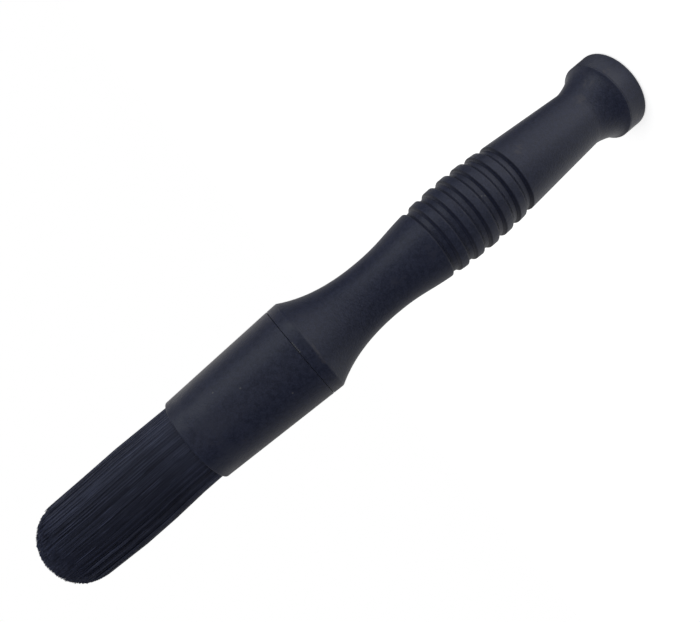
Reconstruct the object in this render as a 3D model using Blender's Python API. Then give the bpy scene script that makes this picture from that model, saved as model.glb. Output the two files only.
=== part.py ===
"""Applicator brush: a ribbed handle with an end cap, a ferrule, and a round domed knot of bristles.

The brush stands on its flat end cap. Its axis is Z, the origin is the centre of the end face,
and the bristles point up. Every length is in metres.
"""

import math
import random

import bmesh
import bpy
import numpy as np
from mathutils import Matrix
from mathutils import Vector
from mathutils.geometry import delaunay_2d_cdt

MM = 0.001

# Radius on both sides of the seam between ferrule and handle, and of the end behind the flare
SEAM_RADIUS = 17.7 * MM
END_RADIUS = 15.0 * MM

# Handle, measured down from the seam where the ferrule ends
HANDLE_LENGTH = 136.4 * MM
COLLAR_LENGTH = 4.2 * MM
SHOULDER_RISE = 0.15 * MM
SHOULDER_ROUNDING = 0.5 * MM
WAIST_DISTANCE = 33.1 * MM
WAIST_RADIUS = 11.15 * MM
GRIP_DISTANCE = 56.5 * MM
GRIP_END_RADIUS = 13.55 * MM
GRIP_CROWN = 1.07 * MM
REAR_WAIST_RADIUS = 10.85 * MM
FLARE_HEIGHT = 10.1 * MM
FLARE_EDGE = 0.5 * MM

# Slopes and pulls of the curves on either side of the waist
NECK_SLOPE = 0.57
NECK_PULL = 9.8 * MM
WAIST_PULL = 10.85 * MM
GRIP_SLOPE = 0.10
GRIP_PULL = 10.0 * MM
FLARE_SLOPE = 1.6
FLARE_PULL = 2.35 * MM

# Finger grooves turned into the grip
GROOVE_COUNT = 6
GROOVE_PITCH = 6.57 * MM
GROOVE_WIDTH = 3.7 * MM
GROOVE_FLOOR = 1.95 * MM
GROOVE_DEPTH = 1.0 * MM

# Hollow of the handle
REAR_WALL = 2.1 * MM
BORE_STEP = 0.7 * MM
NECK_WALL = 3.6 * MM
BORE_DEPTH = 110.0 * MM
BORE_END_TAPER = 5.0 * MM

# Spigot that the ferrule slides on
SPIGOT_LENGTH = 14.3 * MM
SPIGOT_CHAMFER = 0.8 * MM
SPIGOT_WALL = 2.6 * MM
RECESS_DEPTH = 11.0 * MM

# Ferrule
FERRULE_LENGTH = 44.4 * MM
SOCKET_WALL = 1.4 * MM
LIP_RADIUS = 15.88 * MM
LIP_WALL = 0.8 * MM
LIP_ROUNDING = 0.6 * MM

# Snap beads, and the rings that lock the resin in the ferrule
BEAD_HEIGHT = 0.35 * MM
BEAD_WIDTH = 2.0 * MM
SPIGOT_BEAD_DISTANCE = 7.0 * MM
PLUG_BEAD_DISTANCE = 6.0 * MM
LOCK_DEPTH = 0.5 * MM
LOCK_WIDTH = 2.0 * MM
LOCK_COUNT = 2

# End cap
CAP_BAND = 6.9 * MM
CAP_EDGE = 1.4 * MM
CAP_CHAMFER = 0.35 * MM
CAP_FLOOR = 2.6 * MM
PLUG_LENGTH = 10.0 * MM
PLUG_WALL = 1.8 * MM
PLUG_CHAMFER = 0.7 * MM

# Bristles
BRISTLE_OUT = 60.6 * MM
ROOT_RECESS = 8.0 * MM
ROOT_SLICE = 3.0 * MM
ROOT_MARGIN = 0.05 * MM
STRAND_SPACING = 1.31 * MM
STRAND_CLEARANCE = 0.12 * MM
STRAND_SIDES = 3
TIP_TAPER = 0.55
SWELL = 0.3 * MM
DOME_HEIGHT = 12.7 * MM
LEAN_HEIGHT = 20.0 * MM
LEAN = 0.02
RAGGEDNESS = 0.5 * MM
RAGGED_SEED = 7

# Clearance between pieces that fit into or seat on each other
FIT_GAP = 0.3 * MM

# Facets round a turned piece, and steps along a curve
SIDES = 40
NECK_STEPS = 8
GRIP_STEPS = 5
FLARE_STEPS = 6
ROUND_STEPS = 3
SMOOTH_ANGLE = math.radians(35.0)

# Places along the axis that several pieces share
HANDLE_BASE = CAP_BAND + FIT_GAP
SEAM = HANDLE_BASE + HANDLE_LENGTH
SPIGOT_END = SEAM + SPIGOT_LENGTH
FERRULE_BASE = SEAM + FIT_GAP
LEDGE = SPIGOT_END + FIT_GAP
LIP = FERRULE_BASE + FERRULE_LENGTH
ROOT_FACE = LIP - ROOT_RECESS
ROOT_BACK = ROOT_FACE - ROOT_SLICE
RESIN_TOP = ROOT_BACK - FIT_GAP
TIP = LIP + BRISTLE_OUT

# Radii that follow from these
SHOULDER_RADIUS = SEAM_RADIUS + SHOULDER_RISE
SOCKET_RADIUS = SEAM_RADIUS - SOCKET_WALL
SPIGOT_RADIUS = SOCKET_RADIUS - FIT_GAP
FERRULE_BORE = LIP_RADIUS - LIP_WALL
ROOT_RADIUS = FERRULE_BORE - FIT_GAP
PLUG_SEAT_RADIUS = REAR_WAIST_RADIUS - REAR_WALL
PLUG_RADIUS = PLUG_SEAT_RADIUS - FIT_GAP


def clear_scene():
    """Remove every object that is already in the scene."""
    for thing in list(bpy.data.objects):
        bpy.data.objects.remove(thing, do_unlink=True)


def plain_material(name, colour, roughness):
    """Make a non-metallic material of one colour."""
    material = bpy.data.materials.new(name)
    material.use_nodes = True
    shader = material.node_tree.nodes["Principled BSDF"]
    shader.inputs["Base Color"].default_value = (*colour, 1.0)
    shader.inputs["Roughness"].default_value = roughness
    shader.inputs["Metallic"].default_value = 0.0
    return material


def handle_material():
    """Near-black navy moulded plastic with a satin skin."""
    return plain_material("handle_plastic", (0.014, 0.018, 0.041), 0.42)


def ferrule_material():
    """The same dark plastic, a little smoother."""
    return plain_material("ferrule_plastic", (0.014, 0.018, 0.041), 0.40)


def cap_material():
    """The same dark plastic for the end cap."""
    return plain_material("cap_plastic", (0.014, 0.018, 0.041), 0.42)


def resin_material():
    """Amber setting resin that holds the root of the bristles."""
    return plain_material("setting_resin", (0.32, 0.21, 0.09), 0.30)


def bristle_material():
    """Black synthetic filament."""
    return plain_material("bristle_filament", (0.016, 0.021, 0.048), 0.50)


def bezier(start, start_pull, end_pull, end, steps):
    """Points of a cubic curve from start to end, without its first point."""
    points = []
    for step in range(1, steps + 1):
        t = step / steps
        s = 1.0 - t
        radius = s**3 * start[0] + 3 * s * s * t * start_pull[0] + 3 * s * t * t * end_pull[0] + t**3 * end[0]
        height = s**3 * start[1] + 3 * s * s * t * start_pull[1] + 3 * s * t * t * end_pull[1] + t**3 * end[1]
        points.append((radius, height))
    return points


def along_slope(point, slope, length):
    """Move a length along a line whose radius grows by slope for each unit that it goes down."""
    run = length / math.hypot(1.0, slope)
    return (point[0] + slope * run, point[1] - run)


def rounded_corner(centre, radius, first_angle, last_angle):
    """Points of an arc in the section plane, from one angle to the other."""
    points = []
    for step in range(ROUND_STEPS + 1):
        angle = first_angle + (last_angle - first_angle) * step / ROUND_STEPS
        points.append((centre[0] + radius * math.cos(angle), centre[1] + radius * math.sin(angle)))
    return points


def ring_bead(surface_radius, middle, height, width):
    """Section of a raised ring, from its top end to its bottom end.

    A negative height makes a groove. The flanks lean, so that the ring snaps in and out.
    """
    flank = width / 4
    return [
        (surface_radius, middle + width / 2),
        (surface_radius + height, middle + width / 2 - flank),
        (surface_radius + height, middle - width / 2 + flank),
        (surface_radius, middle - width / 2),
    ]


def turned(name, outline, material):
    """Spin a section round the Z axis into one closed body.

    The outline is a list of (radius, height). When it starts and ends on the axis it is left open
    there, and otherwise it is closed into a loop.
    """
    shape = bmesh.new()
    points = [shape.verts.new((radius, 0.0, height)) for radius, height in outline]
    edges = [shape.edges.new(pair) for pair in zip(points, points[1:])]
    if outline[0][0] > 0.0:
        edges.append(shape.edges.new((points[-1], points[0])))
    bmesh.ops.spin(
        shape,
        geom=points + edges,
        cent=(0.0, 0.0, 0.0),
        axis=(0.0, 0.0, 1.0),
        dvec=(0.0, 0.0, 0.0),
        angle=2 * math.pi,
        space=Matrix.Identity(4),
        steps=SIDES,
        use_merge=True,
    )
    bmesh.ops.remove_doubles(shape, verts=shape.verts, dist=0.001 * MM)
    return finish_body(name, shape, material)


def finish_body(name, shape, material):
    """Turn a bmesh into a named object with smooth round faces and its own material."""
    bmesh.ops.recalc_face_normals(shape, faces=shape.faces)
    if shape.calc_volume(signed=True) < 0.0:
        bmesh.ops.reverse_faces(shape, faces=shape.faces)
    mesh = bpy.data.meshes.new(name)
    shape.to_mesh(mesh)
    shape.free()
    mesh.shade_smooth()
    mesh.set_sharp_from_angle(angle=SMOOTH_ANGLE)
    mesh.materials.append(material)
    thing = bpy.data.objects.new(name, mesh)
    bpy.context.scene.collection.objects.link(thing)
    return thing


def grip_span():
    """Height of the grip's top and bottom edges."""
    top = SEAM - GRIP_DISTANCE
    return top, top - (GROOVE_COUNT - 1) * GROOVE_PITCH - GROOVE_WIDTH


def grip_radius(height):
    """Radius of the grip's ribs: a shallow arch over the length of the grip."""
    top, bottom = grip_span()
    share = (2 * height - top - bottom) / (top - bottom)
    return GRIP_END_RADIUS + GRIP_CROWN * (1.0 - share * share)


def neck_outline():
    """Collar, shoulder and the drawn-in neck, from the seam down to the top of the grip."""
    shoulder = (SHOULDER_RADIUS, SEAM - COLLAR_LENGTH)
    before = (SHOULDER_RADIUS, shoulder[1] + SHOULDER_ROUNDING)
    after = along_slope(shoulder, -NECK_SLOPE, SHOULDER_ROUNDING)
    waist = (WAIST_RADIUS, SEAM - WAIST_DISTANCE)
    grip_top = grip_span()[0]
    grip = (grip_radius(grip_top), grip_top)
    points = [(SEAM_RADIUS, SEAM), before]
    points += bezier(before, shoulder, shoulder, after, 2)
    neck_end = (waist[0], waist[1] + WAIST_PULL)
    points += bezier(after, along_slope(after, -NECK_SLOPE, NECK_PULL), neck_end, waist, NECK_STEPS)
    grip_start = (waist[0], waist[1] - WAIST_PULL)
    points += bezier(waist, grip_start, along_slope(grip, GRIP_SLOPE, -GRIP_PULL), grip, GRIP_STEPS)
    return points


def grip_outline():
    """Finger grooves with leaning walls and flat floors, cut into the arched grip."""
    top = grip_span()[0]
    wall = (GROOVE_WIDTH - GROOVE_FLOOR) / 2
    points = []
    for groove in range(GROOVE_COUNT):
        start = top - groove * GROOVE_PITCH
        end = start - GROOVE_WIDTH
        if groove > 0:
            points.append((grip_radius(start), start))
        points.append((grip_radius(start) - GROOVE_DEPTH, start - wall))
        points.append((grip_radius(end) - GROOVE_DEPTH, end + wall))
        points.append((grip_radius(end), end))
    return points


def rear_outline():
    """Straight taper behind the grip, and the flare that it ends in."""
    waist = (REAR_WAIST_RADIUS, HANDLE_BASE + FLARE_HEIGHT)
    edge = (END_RADIUS - FLARE_EDGE, HANDLE_BASE + 2 * FLARE_EDGE)
    points = [waist]
    flare_start = (waist[0], waist[1] - FLARE_PULL)
    points += bezier(waist, flare_start, along_slope(edge, FLARE_SLOPE, -FLARE_PULL), edge, FLARE_STEPS)
    points.append((END_RADIUS, HANDLE_BASE + FLARE_EDGE))
    points.append((END_RADIUS - CAP_CHAMFER, HANDLE_BASE))
    return points


def bore_outline():
    """Hollow of the handle, from the seat of the cap's plug up to its blind end."""
    seat_end = HANDLE_BASE + PLUG_LENGTH + FIT_GAP
    bead_middle = HANDLE_BASE + PLUG_BEAD_DISTANCE
    groove = ring_bead(PLUG_SEAT_RADIUS, bead_middle, BEAD_HEIGHT, BEAD_WIDTH + 2 * FIT_GAP)
    points = [(PLUG_SEAT_RADIUS, HANDLE_BASE)]
    points += reversed(groove)
    points.append((PLUG_SEAT_RADIUS, seat_end))
    points.append((PLUG_SEAT_RADIUS - BORE_STEP, seat_end))
    bore_top = HANDLE_BASE + BORE_DEPTH
    points.append((WAIST_RADIUS - NECK_WALL, bore_top - BORE_END_TAPER))
    points.append((0.0, bore_top))
    return points


def spigot_outline():
    """Recess in the handle's front end, and the spigot round it with its snap bead."""
    recess_radius = SPIGOT_RADIUS - SPIGOT_WALL
    points = [
        (0.0, SPIGOT_END - RECESS_DEPTH),
        (recess_radius, SPIGOT_END - RECESS_DEPTH),
        (recess_radius, SPIGOT_END),
        (SPIGOT_RADIUS - SPIGOT_CHAMFER, SPIGOT_END),
        (SPIGOT_RADIUS, SPIGOT_END - SPIGOT_CHAMFER),
    ]
    points += ring_bead(SPIGOT_RADIUS, SEAM + SPIGOT_BEAD_DISTANCE, BEAD_HEIGHT, BEAD_WIDTH)
    points.append((SPIGOT_RADIUS, SEAM))
    return points


def make_handle():
    """One moulding: spigot, shoulder, neck, ribbed grip, taper, flare and blind bore."""
    outline = spigot_outline() + neck_outline() + grip_outline() + rear_outline() + bore_outline()
    return turned("handle", outline, handle_material())


def make_end_cap():
    """Flat-ended cap with a hollow plug that snaps into the handle."""
    plug_end = HANDLE_BASE + PLUG_LENGTH
    rim = rounded_corner((END_RADIUS - CAP_EDGE, CAP_EDGE), CAP_EDGE, 0.0, -math.pi / 2)
    outline = [
        (0.0, CAP_FLOOR),
        (PLUG_RADIUS - PLUG_WALL, CAP_FLOOR),
        (PLUG_RADIUS - PLUG_WALL, plug_end),
        (PLUG_RADIUS - PLUG_CHAMFER, plug_end),
        (PLUG_RADIUS, plug_end - PLUG_CHAMFER),
    ]
    outline += ring_bead(PLUG_RADIUS, HANDLE_BASE + PLUG_BEAD_DISTANCE, BEAD_HEIGHT, BEAD_WIDTH)
    outline.append((PLUG_RADIUS, CAP_BAND))
    outline.append((END_RADIUS - CAP_CHAMFER, CAP_BAND))
    outline.append((END_RADIUS, CAP_BAND - CAP_CHAMFER))
    outline += rim
    outline.append((0.0, 0.0))
    return turned("end_cap", outline, cap_material())


def lock_middles():
    """Heights of the rings that lock the resin, spread evenly along it."""
    spread = (RESIN_TOP - LEDGE) / (LOCK_COUNT + 1)
    return [RESIN_TOP - spread * (lock + 1) for lock in range(LOCK_COUNT)]


def make_ferrule():
    """Tapered sleeve with a rounded lip, lock grooves, a ledge and a socket for the spigot."""
    lip_corner = (LIP_RADIUS - LIP_ROUNDING, LIP - LIP_ROUNDING)
    outline = [(SOCKET_RADIUS, FERRULE_BASE)]
    bead_middle = SEAM + SPIGOT_BEAD_DISTANCE
    snap_groove = ring_bead(SOCKET_RADIUS, bead_middle, BEAD_HEIGHT, BEAD_WIDTH + 2 * FIT_GAP)
    outline += reversed(snap_groove)
    outline.append((SOCKET_RADIUS, LEDGE))
    outline.append((FERRULE_BORE, LEDGE))
    for middle in reversed(lock_middles()):
        outline += reversed(ring_bead(FERRULE_BORE, middle, LOCK_DEPTH, LOCK_WIDTH + 2 * FIT_GAP))
    outline.append((FERRULE_BORE, LIP))
    outline += reversed(rounded_corner(lip_corner, LIP_ROUNDING, 0.0, math.pi / 2))
    outline.append((SEAM_RADIUS, FERRULE_BASE))
    return turned("ferrule", outline, ferrule_material())


def make_resin():
    """Block of setting resin behind the bristles, keyed into the ferrule's lock grooves."""
    outline = [(0.0, RESIN_TOP), (ROOT_RADIUS, RESIN_TOP)]
    for middle in lock_middles():
        outline += ring_bead(ROOT_RADIUS, middle, LOCK_DEPTH, LOCK_WIDTH)
    outline.append((ROOT_RADIUS, LEDGE))
    outline.append((0.0, LEDGE))
    return turned("resin_setting", outline, resin_material())


def strand_roots():
    """Centres of the strands on a sunflower spiral, and the least distance between two of them.

    Strand n lies at the golden angle times n, at a radius that grows as the square root of n, so
    every strand has the same area of root.
    """
    edge = ROOT_RADIUS - ROOT_MARGIN - STRAND_SPACING / 2
    step = STRAND_SPACING / math.sqrt(math.pi)
    count = int((edge / step) ** 2)
    number = np.arange(count) + 0.5
    angle = number * math.pi * (3.0 - math.sqrt(5.0))
    radius = step * np.sqrt(number)
    centres = np.stack([radius * np.cos(angle), radius * np.sin(angle)], axis=1)
    apart = np.linalg.norm(centres[:, None, :] - centres[None, :, :], axis=2)
    apart[np.diag_indices(count)] = np.inf
    return centres, float(apart.min())


def bundle_spread(height, reach):
    """How far the bundle is spread at a height, as a share of its spread at the root.

    It bellies out a little above the lip, and the tips lean in towards the axis. All strands share
    this spread, so none crosses another.
    """
    lean_start = TIP - LEAN_HEIGHT
    free = min(max((height - LIP) / (lean_start - LIP), 0.0), 1.0)
    lean = max((height - lean_start) / LEAN_HEIGHT, 0.0)
    return 1.0 + SWELL / reach * math.sin(math.pi * free) - LEAN * lean * lean


def strand_tip(radius, reach, ragged):
    """Height of a strand's tip: a half ellipse over the bundle, less a little raggedness."""
    share = min(radius / reach, 1.0)
    return TIP - DOME_HEIGHT * (1.0 - math.sqrt(1.0 - share * share)) - ragged


def strand_heights(radius, reach, tip):
    """Heights where a strand bends. One deep in the bundle doesn't follow the belly."""
    lean_start = TIP - LEAN_HEIGHT
    if radius < reach / 2:
        return [lean_start, tip]
    return [(LIP + lean_start) / 2, lean_start, tip]


def polygon(centre, radius, sides, turn):
    """Corners of a regular polygon."""
    corners = []
    for side in range(sides):
        angle = turn + 2 * math.pi * side / sides
        corners.append(Vector((centre[0] + radius * math.cos(angle), centre[1] + radius * math.sin(angle))))
    return corners


def loop_pairs(items):
    """Each item with the one that follows it round a closed loop."""
    return list(zip(items, items[1:] + items[:1]))


def join_rings(shape, lower, upper):
    """Wall of quads between two rings of as many points."""
    for (low, next_low), (high, next_high) in zip(loop_pairs(lower), loop_pairs(upper)):
        shape.faces.new((low, next_low, next_high, high))


def grow_strand(shape, base, centre, reach, tip):
    """Carry a strand's root section up to its tip, where it is thinner, and close it there."""
    offsets = [(point.co.x - centre[0], point.co.y - centre[1]) for point in base]
    lower = base
    for height in strand_heights(math.hypot(*centre), reach, tip):
        spread = bundle_spread(height, reach)
        thickness = TIP_TAPER if height == tip else 1.0
        upper = []
        for x, y in offsets:
            place = (centre[0] * spread + x * thickness, centre[1] * spread + y * thickness, height)
            upper.append(shape.verts.new(place))
        join_rings(shape, lower, upper)
        lower = upper
    shape.faces.new(lower)


def make_bristles():
    """Slender strands that stand on one slice of their set root.

    The slice's face is a flat net of triangles in which each strand's root is left out, and the
    strand grows from the corners of that gap.
    """
    centres, least = strand_roots()
    section = (least - STRAND_CLEARANCE) / 2
    reach = float(np.linalg.norm(centres, axis=1).max())
    chance = random.Random(RAGGED_SEED)

    corners = []
    for centre in centres:
        corners += polygon(centre, section, STRAND_SIDES, chance.uniform(0.0, 2 * math.pi))
    rim_start = len(corners)
    corners += polygon((0.0, 0.0), ROOT_RADIUS, SIDES, 0.0)
    rim = loop_pairs(list(range(rim_start, len(corners))))
    roots = [tuple(range(first, first + STRAND_SIDES)) for first in range(0, rim_start, STRAND_SIDES)]
    net = delaunay_2d_cdt(corners, rim, roots, 0, 0.0001 * MM, True)
    net_points, _, net_faces, point_origins, _, face_origins = net

    shape = bmesh.new()
    face_points = [shape.verts.new((point.x, point.y, ROOT_FACE)) for point in net_points]
    corner_points = {}
    for point, origins in zip(face_points, point_origins):
        for origin in origins:
            corner_points[origin] = point
    for face, origins in zip(net_faces, face_origins):
        if not origins:
            shape.faces.new([face_points[index] for index in face])

    upper_rim = [corner_points[start] for start, _ in rim]
    lower_rim = [shape.verts.new((point.co.x, point.co.y, ROOT_BACK)) for point in upper_rim]
    join_rings(shape, lower_rim, upper_rim)
    shape.faces.new(lower_rim)

    for centre, root in zip(centres, roots):
        tip = strand_tip(math.hypot(*centre), reach, chance.uniform(0.0, RAGGEDNESS))
        grow_strand(shape, [corner_points[corner] for corner in root], centre, reach, tip)
    print("strands:", len(centres))
    print("least gap between two strands at the root, in mm:", round((least - 2 * section) / MM, 3))
    return finish_body("bristles", shape, bristle_material())


def build():
    """Make every piece of the brush."""
    clear_scene()
    make_handle()
    make_end_cap()
    make_ferrule()
    make_resin()
    make_bristles()


build()
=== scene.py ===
# %% [markdown]
# # A round applicator brush
#
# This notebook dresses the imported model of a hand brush: a waisted handle with finger grooves, a
# flat end cap, a tapered ferrule, and a domed knot of dark filaments. The brush stands on its end
# cap with the bristles up, and every piece is computed straight in the model's own place, in
# metres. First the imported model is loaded, because it says where the pieces meet.

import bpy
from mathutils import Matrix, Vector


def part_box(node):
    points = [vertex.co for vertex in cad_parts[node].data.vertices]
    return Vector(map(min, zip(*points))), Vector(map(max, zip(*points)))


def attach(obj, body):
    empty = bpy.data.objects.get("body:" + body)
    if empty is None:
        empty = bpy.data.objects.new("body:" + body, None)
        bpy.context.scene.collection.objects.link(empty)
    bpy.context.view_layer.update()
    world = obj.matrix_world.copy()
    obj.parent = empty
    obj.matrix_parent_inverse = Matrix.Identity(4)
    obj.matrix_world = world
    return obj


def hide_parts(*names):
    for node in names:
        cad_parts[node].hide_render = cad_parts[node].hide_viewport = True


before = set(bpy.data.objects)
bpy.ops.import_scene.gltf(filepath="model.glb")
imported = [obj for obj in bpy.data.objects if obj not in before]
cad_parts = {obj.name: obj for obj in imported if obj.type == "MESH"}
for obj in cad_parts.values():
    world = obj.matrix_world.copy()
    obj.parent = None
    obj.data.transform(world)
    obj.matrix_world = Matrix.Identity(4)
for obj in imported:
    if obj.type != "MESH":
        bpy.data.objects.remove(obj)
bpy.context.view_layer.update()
print("pieces in the packed model:", sorted(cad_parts))

# %% [markdown]
# ## Measures
#
# A turned object is described by heights along its axis and by radii. The heights of the joints
# between pieces, and the greatest radii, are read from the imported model, so the fine surfaces can
# never drift away from the solids. What the boxes can't tell, such as the waist and the grooves,
# is written in millimetres where it is first needed, as measured from the photograph.

# %% Heights and radii
import math

import bpy
import numpy as np
from mathutils import Matrix
from mathutils import Vector

MM = 0.001
FIT_GAP = 0.3 * MM

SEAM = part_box("ferrule")[0].z - FIT_GAP
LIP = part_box("ferrule")[1].z
HANDLE_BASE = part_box("handle")[0].z
SPIGOT_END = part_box("handle")[1].z
PLUG_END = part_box("end_cap")[1].z
ROOT_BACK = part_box("bristles")[0].z
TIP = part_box("bristles")[1].z

SEAM_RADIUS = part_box("ferrule")[1].x
SHOULDER_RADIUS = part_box("handle")[1].x
END_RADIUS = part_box("end_cap")[1].x
print("seam", round(SEAM / MM, 2), "lip", round(LIP / MM, 2), "tip", round(TIP / MM, 2))
radii = (SEAM_RADIUS, SHOULDER_RADIUS, END_RADIUS)
print("radii at seam, shoulder and end:", [round(radius / MM, 2) for radius in radii])

# %% [markdown]
# ## Turned surfaces
#
# The handle, cap and ferrule of the real brush are round mouldings. Each could be a cylinder that
# is pushed and pulled into shape, but a lathe is closer to how such a thing is designed: one
# outline of radius against height is carried round the axis. The point at angle a of an outline
# point (r, z) is (r cos a, r sin a, z). The whole grid of points is one numpy expression.

# %% A lathe
SEGMENTS = 192
AT_AXIS = 1e-9


def new_piece(name, points, faces, material):
    """Put arrays of points and faces into a smooth-shaded object at the origin."""
    mesh = bpy.data.meshes.new(name)
    mesh.from_pydata(points.tolist(), [], faces)
    mesh.shade_smooth()
    mesh.materials.append(material)
    piece = bpy.data.objects.new(name, mesh)
    bpy.context.scene.collection.objects.link(piece)
    return piece


def lathe(name, outline, material):
    """Carry an outline round the Z axis.

    Outline rows are (radius, height, edge). A point is (r cos a, r sin a, z) for SEGMENTS equal
    angles a. A row with no radius is one pole point, and its faces are triangles. An outline
    that doesn't reach the axis is closed from its last row to its first.
    """
    radius, height, edge = outline.T
    pole = radius < AT_AXIS
    angle = np.arange(SEGMENTS) * 2 * np.pi / SEGMENTS
    grid = np.stack(
        [
            radius[:, None] * np.cos(angle),
            radius[:, None] * np.sin(angle),
            np.repeat(height[:, None], SEGMENTS, axis=1),
        ],
        axis=2,
    )
    kept = np.ones(grid.shape[:2], bool)
    kept[pole, 1:] = False
    number = np.cumsum(kept).reshape(kept.shape) - 1
    number[pole] = number[pole, :1]
    rows = np.arange(len(radius))
    upper = rows if not pole.any() else rows[:-1]
    lower = (upper + 1) % len(radius)
    right = np.roll(number, -1, axis=1)
    quads = np.stack([number[upper], number[lower], right[lower], right[upper]], axis=2)
    at_pole = pole[upper] | pole[lower]
    faces = quads[~at_pole].reshape(-1, 4).tolist()
    faces += quads[pole[upper]][:, :, [0, 1, 2]].reshape(-1, 3).tolist()
    faces += quads[pole[lower]][:, :, [0, 1, 3]].reshape(-1, 3).tolist()
    piece = new_piece(name, grid[kept], faces, material)
    worn = piece.data.attributes.new("edge", "FLOAT", "POINT")
    worn.data.foreach_set("value", np.repeat(edge[:, None], SEGMENTS, axis=1)[kept].astype(np.float32))
    print(name, "has", len(faces), "faces")
    return piece


# %% [markdown]
# ## Outlines with soft corners
#
# No moulded edge is sharp: the tool is polished and the plastic shrinks. A bevel modifier could
# round the finished mesh, but rounding the outline itself costs nothing and keeps the rows even.
# Each corner is given as (radius, height, rounding). A corner of rounding q that turns by angle t
# starts q tan(t/2) before the corner and ends as far after it, and its arc has radius q. Where
# the corners lie too close for that, the arc is made smaller.

# %% Rounding and curves
ARC_STEPS = 6
LEAST_TURN = 1e-4
ROOM_USED = 0.98
SUPPORT = 0.12 * MM
LEAST_SUPPORT = 0.02 * MM


def soften(corners):
    """Outline rows (radius, height, edge) through corners (radius, height, rounding).

    The edge value is 1 on an arc that stands out, -1 on one that lies in a hollow and 0 elsewhere.
    A row just outside each arc keeps the shading of the flat beside it flat.
    """
    given = np.array(corners, float)
    rows = [[*given[0, :2], 0.0]]
    for before, here, after in zip(given, given[1:], given[2:]):
        come = here[:2] - before[:2]
        leave = after[:2] - here[:2]
        room = min(np.linalg.norm(come), np.linalg.norm(leave)) / 2
        come /= np.linalg.norm(come)
        leave /= np.linalg.norm(leave)
        bend = come[0] * leave[1] - come[1] * leave[0]
        turn = math.atan2(bend, float(come @ leave))
        if here[2] == 0.0 or abs(turn) < LEAST_TURN:
            rows.append([*here[:2], 0.0])
            continue
        reach = min(here[2] * math.tan(abs(turn) / 2), room * ROOM_USED)
        rounding = reach / math.tan(abs(turn) / 2)
        side = math.copysign(1.0, turn)
        centre = here[:2] - come * reach + side * rounding * np.array([-come[1], come[0]])
        start = math.atan2(-side * come[0], side * come[1])
        sweep = start + np.linspace(0.0, turn, ARC_STEPS + 1)
        arc = centre + rounding * np.stack([np.cos(sweep), np.sin(sweep)], axis=1)
        flank = min(SUPPORT, room - reach)
        if flank > LEAST_SUPPORT:
            rows.append([*(arc[0] - come * flank), 0.0])
        rows += [[*point, -side] for point in arc]
        if flank > LEAST_SUPPORT:
            rows.append([*(arc[-1] + leave * flank), 0.0])
    rows.append([*given[-1, :2], 0.0])
    return np.array(rows)


def bezier(start, start_pull, end_pull, end, steps):
    """Rows of a cubic curve: (1-t)^3 a + 3 (1-t)^2 t b + 3 (1-t) t^2 c + t^3 d, with no rounding."""
    t = np.linspace(0.0, 1.0, steps + 1)[:, None]
    s = 1.0 - t
    a, b, c, d = (np.array(point, float) for point in (start, start_pull, end_pull, end))
    curve = s**3 * a + 3 * s * s * t * b + 3 * s * t * t * c + t**3 * d
    return np.hstack([curve, np.zeros((steps + 1, 1))])


def along_slope(point, slope, length):
    """Move a length along a line whose radius grows by slope for each unit that it goes down."""
    run = length / math.hypot(1.0, slope)
    return (point[0] + slope * run, point[1] - run)


# %% [markdown]
# ## Moulded plastic
#
# The handle, cap and ferrule are one near-black navy plastic with a satin skin. A flat colour
# would look like a drawing, so the finish is built from clouds and finer flecks of slightly
# lighter pigment, wider patches of pale bloom, a fine eroded grain, edges that handling has
# rubbed a little paler and smoother, which also serve as painted glints, painted shade in hollow
# corners, a few rub marks and painted highlights, and specks of dust and a painted glint. It reads
# object coordinates and the outline's edge value, so it stays put on the piece from every side.

# %% Shader helpers
# Numbers of the Mix node's two inputs and its output, for each kind
BLEND_SOCKETS = {"FLOAT": (2, 3, 0), "VECTOR": (4, 5, 1), "RGBA": (6, 7, 2)}


def shader_node(tree, kind, **settings):
    """Add a node and set its properties."""
    made = tree.nodes.new(kind)
    for name, value in settings.items():
        setattr(made, name, value)
    return made


def put(tree, value, socket):
    """Link an output to an input, or give the input a constant. A colour is opaque."""
    if isinstance(value, bpy.types.NodeSocket):
        tree.links.new(value, socket)
    elif socket.type == "RGBA":
        socket.default_value = (*value, 1.0)
    else:
        socket.default_value = value


def noise(tree, place, scale, detail, roughness):
    """Noise over a place. Over object coordinates the scale is in features per metre."""
    made = shader_node(tree, "ShaderNodeTexNoise")
    for name, value in (("Vector", place), ("Scale", scale), ("Detail", detail), ("Roughness", roughness)):
        put(tree, value, made.inputs[name])
    return made.outputs["Fac"]


def remap(tree, value, low, high, to_low=0.0, to_high=1.0):
    """Stretch low..high smoothly to to_low..to_high, and hold the value inside that range."""
    made = shader_node(tree, "ShaderNodeMapRange", interpolation_type="SMOOTHSTEP")
    names = ("Value", "From Min", "From Max", "To Min", "To Max")
    for name, given in zip(names, (value, low, high, to_low, to_high)):
        put(tree, given, made.inputs[name])
    return made.outputs["Result"]


def blend(tree, kind, share, first, second):
    """Mix two numbers, vectors or colours. The kind is FLOAT, VECTOR or RGBA."""
    made = shader_node(tree, "ShaderNodeMix", data_type=kind)
    first_input, second_input, output = BLEND_SOCKETS[kind]
    for number, value in ((0, share), (first_input, first), (second_input, second)):
        put(tree, value, made.inputs[number])
    return made.outputs[output]


def combine(tree, operation, *values):
    """Arithmetic on values in turn, as in a + b + c. Each is a number or a socket."""
    result = values[0]
    for value in values[1:]:
        made = shader_node(tree, "ShaderNodeMath", operation=operation)
        put(tree, result, made.inputs[0])
        put(tree, value, made.inputs[1])
        result = made.outputs["Value"]
    return result


def vector_step(tree, operation, *vectors):
    """A node of vector arithmetic on one or two vectors. Each is a constant or a socket."""
    made = shader_node(tree, "ShaderNodeVectorMath", operation=operation)
    for vector, socket in zip(vectors, made.inputs):
        put(tree, vector, socket)
    return made


# %% Marks, and the start of a material
MARK_HEART = 0.45


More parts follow.
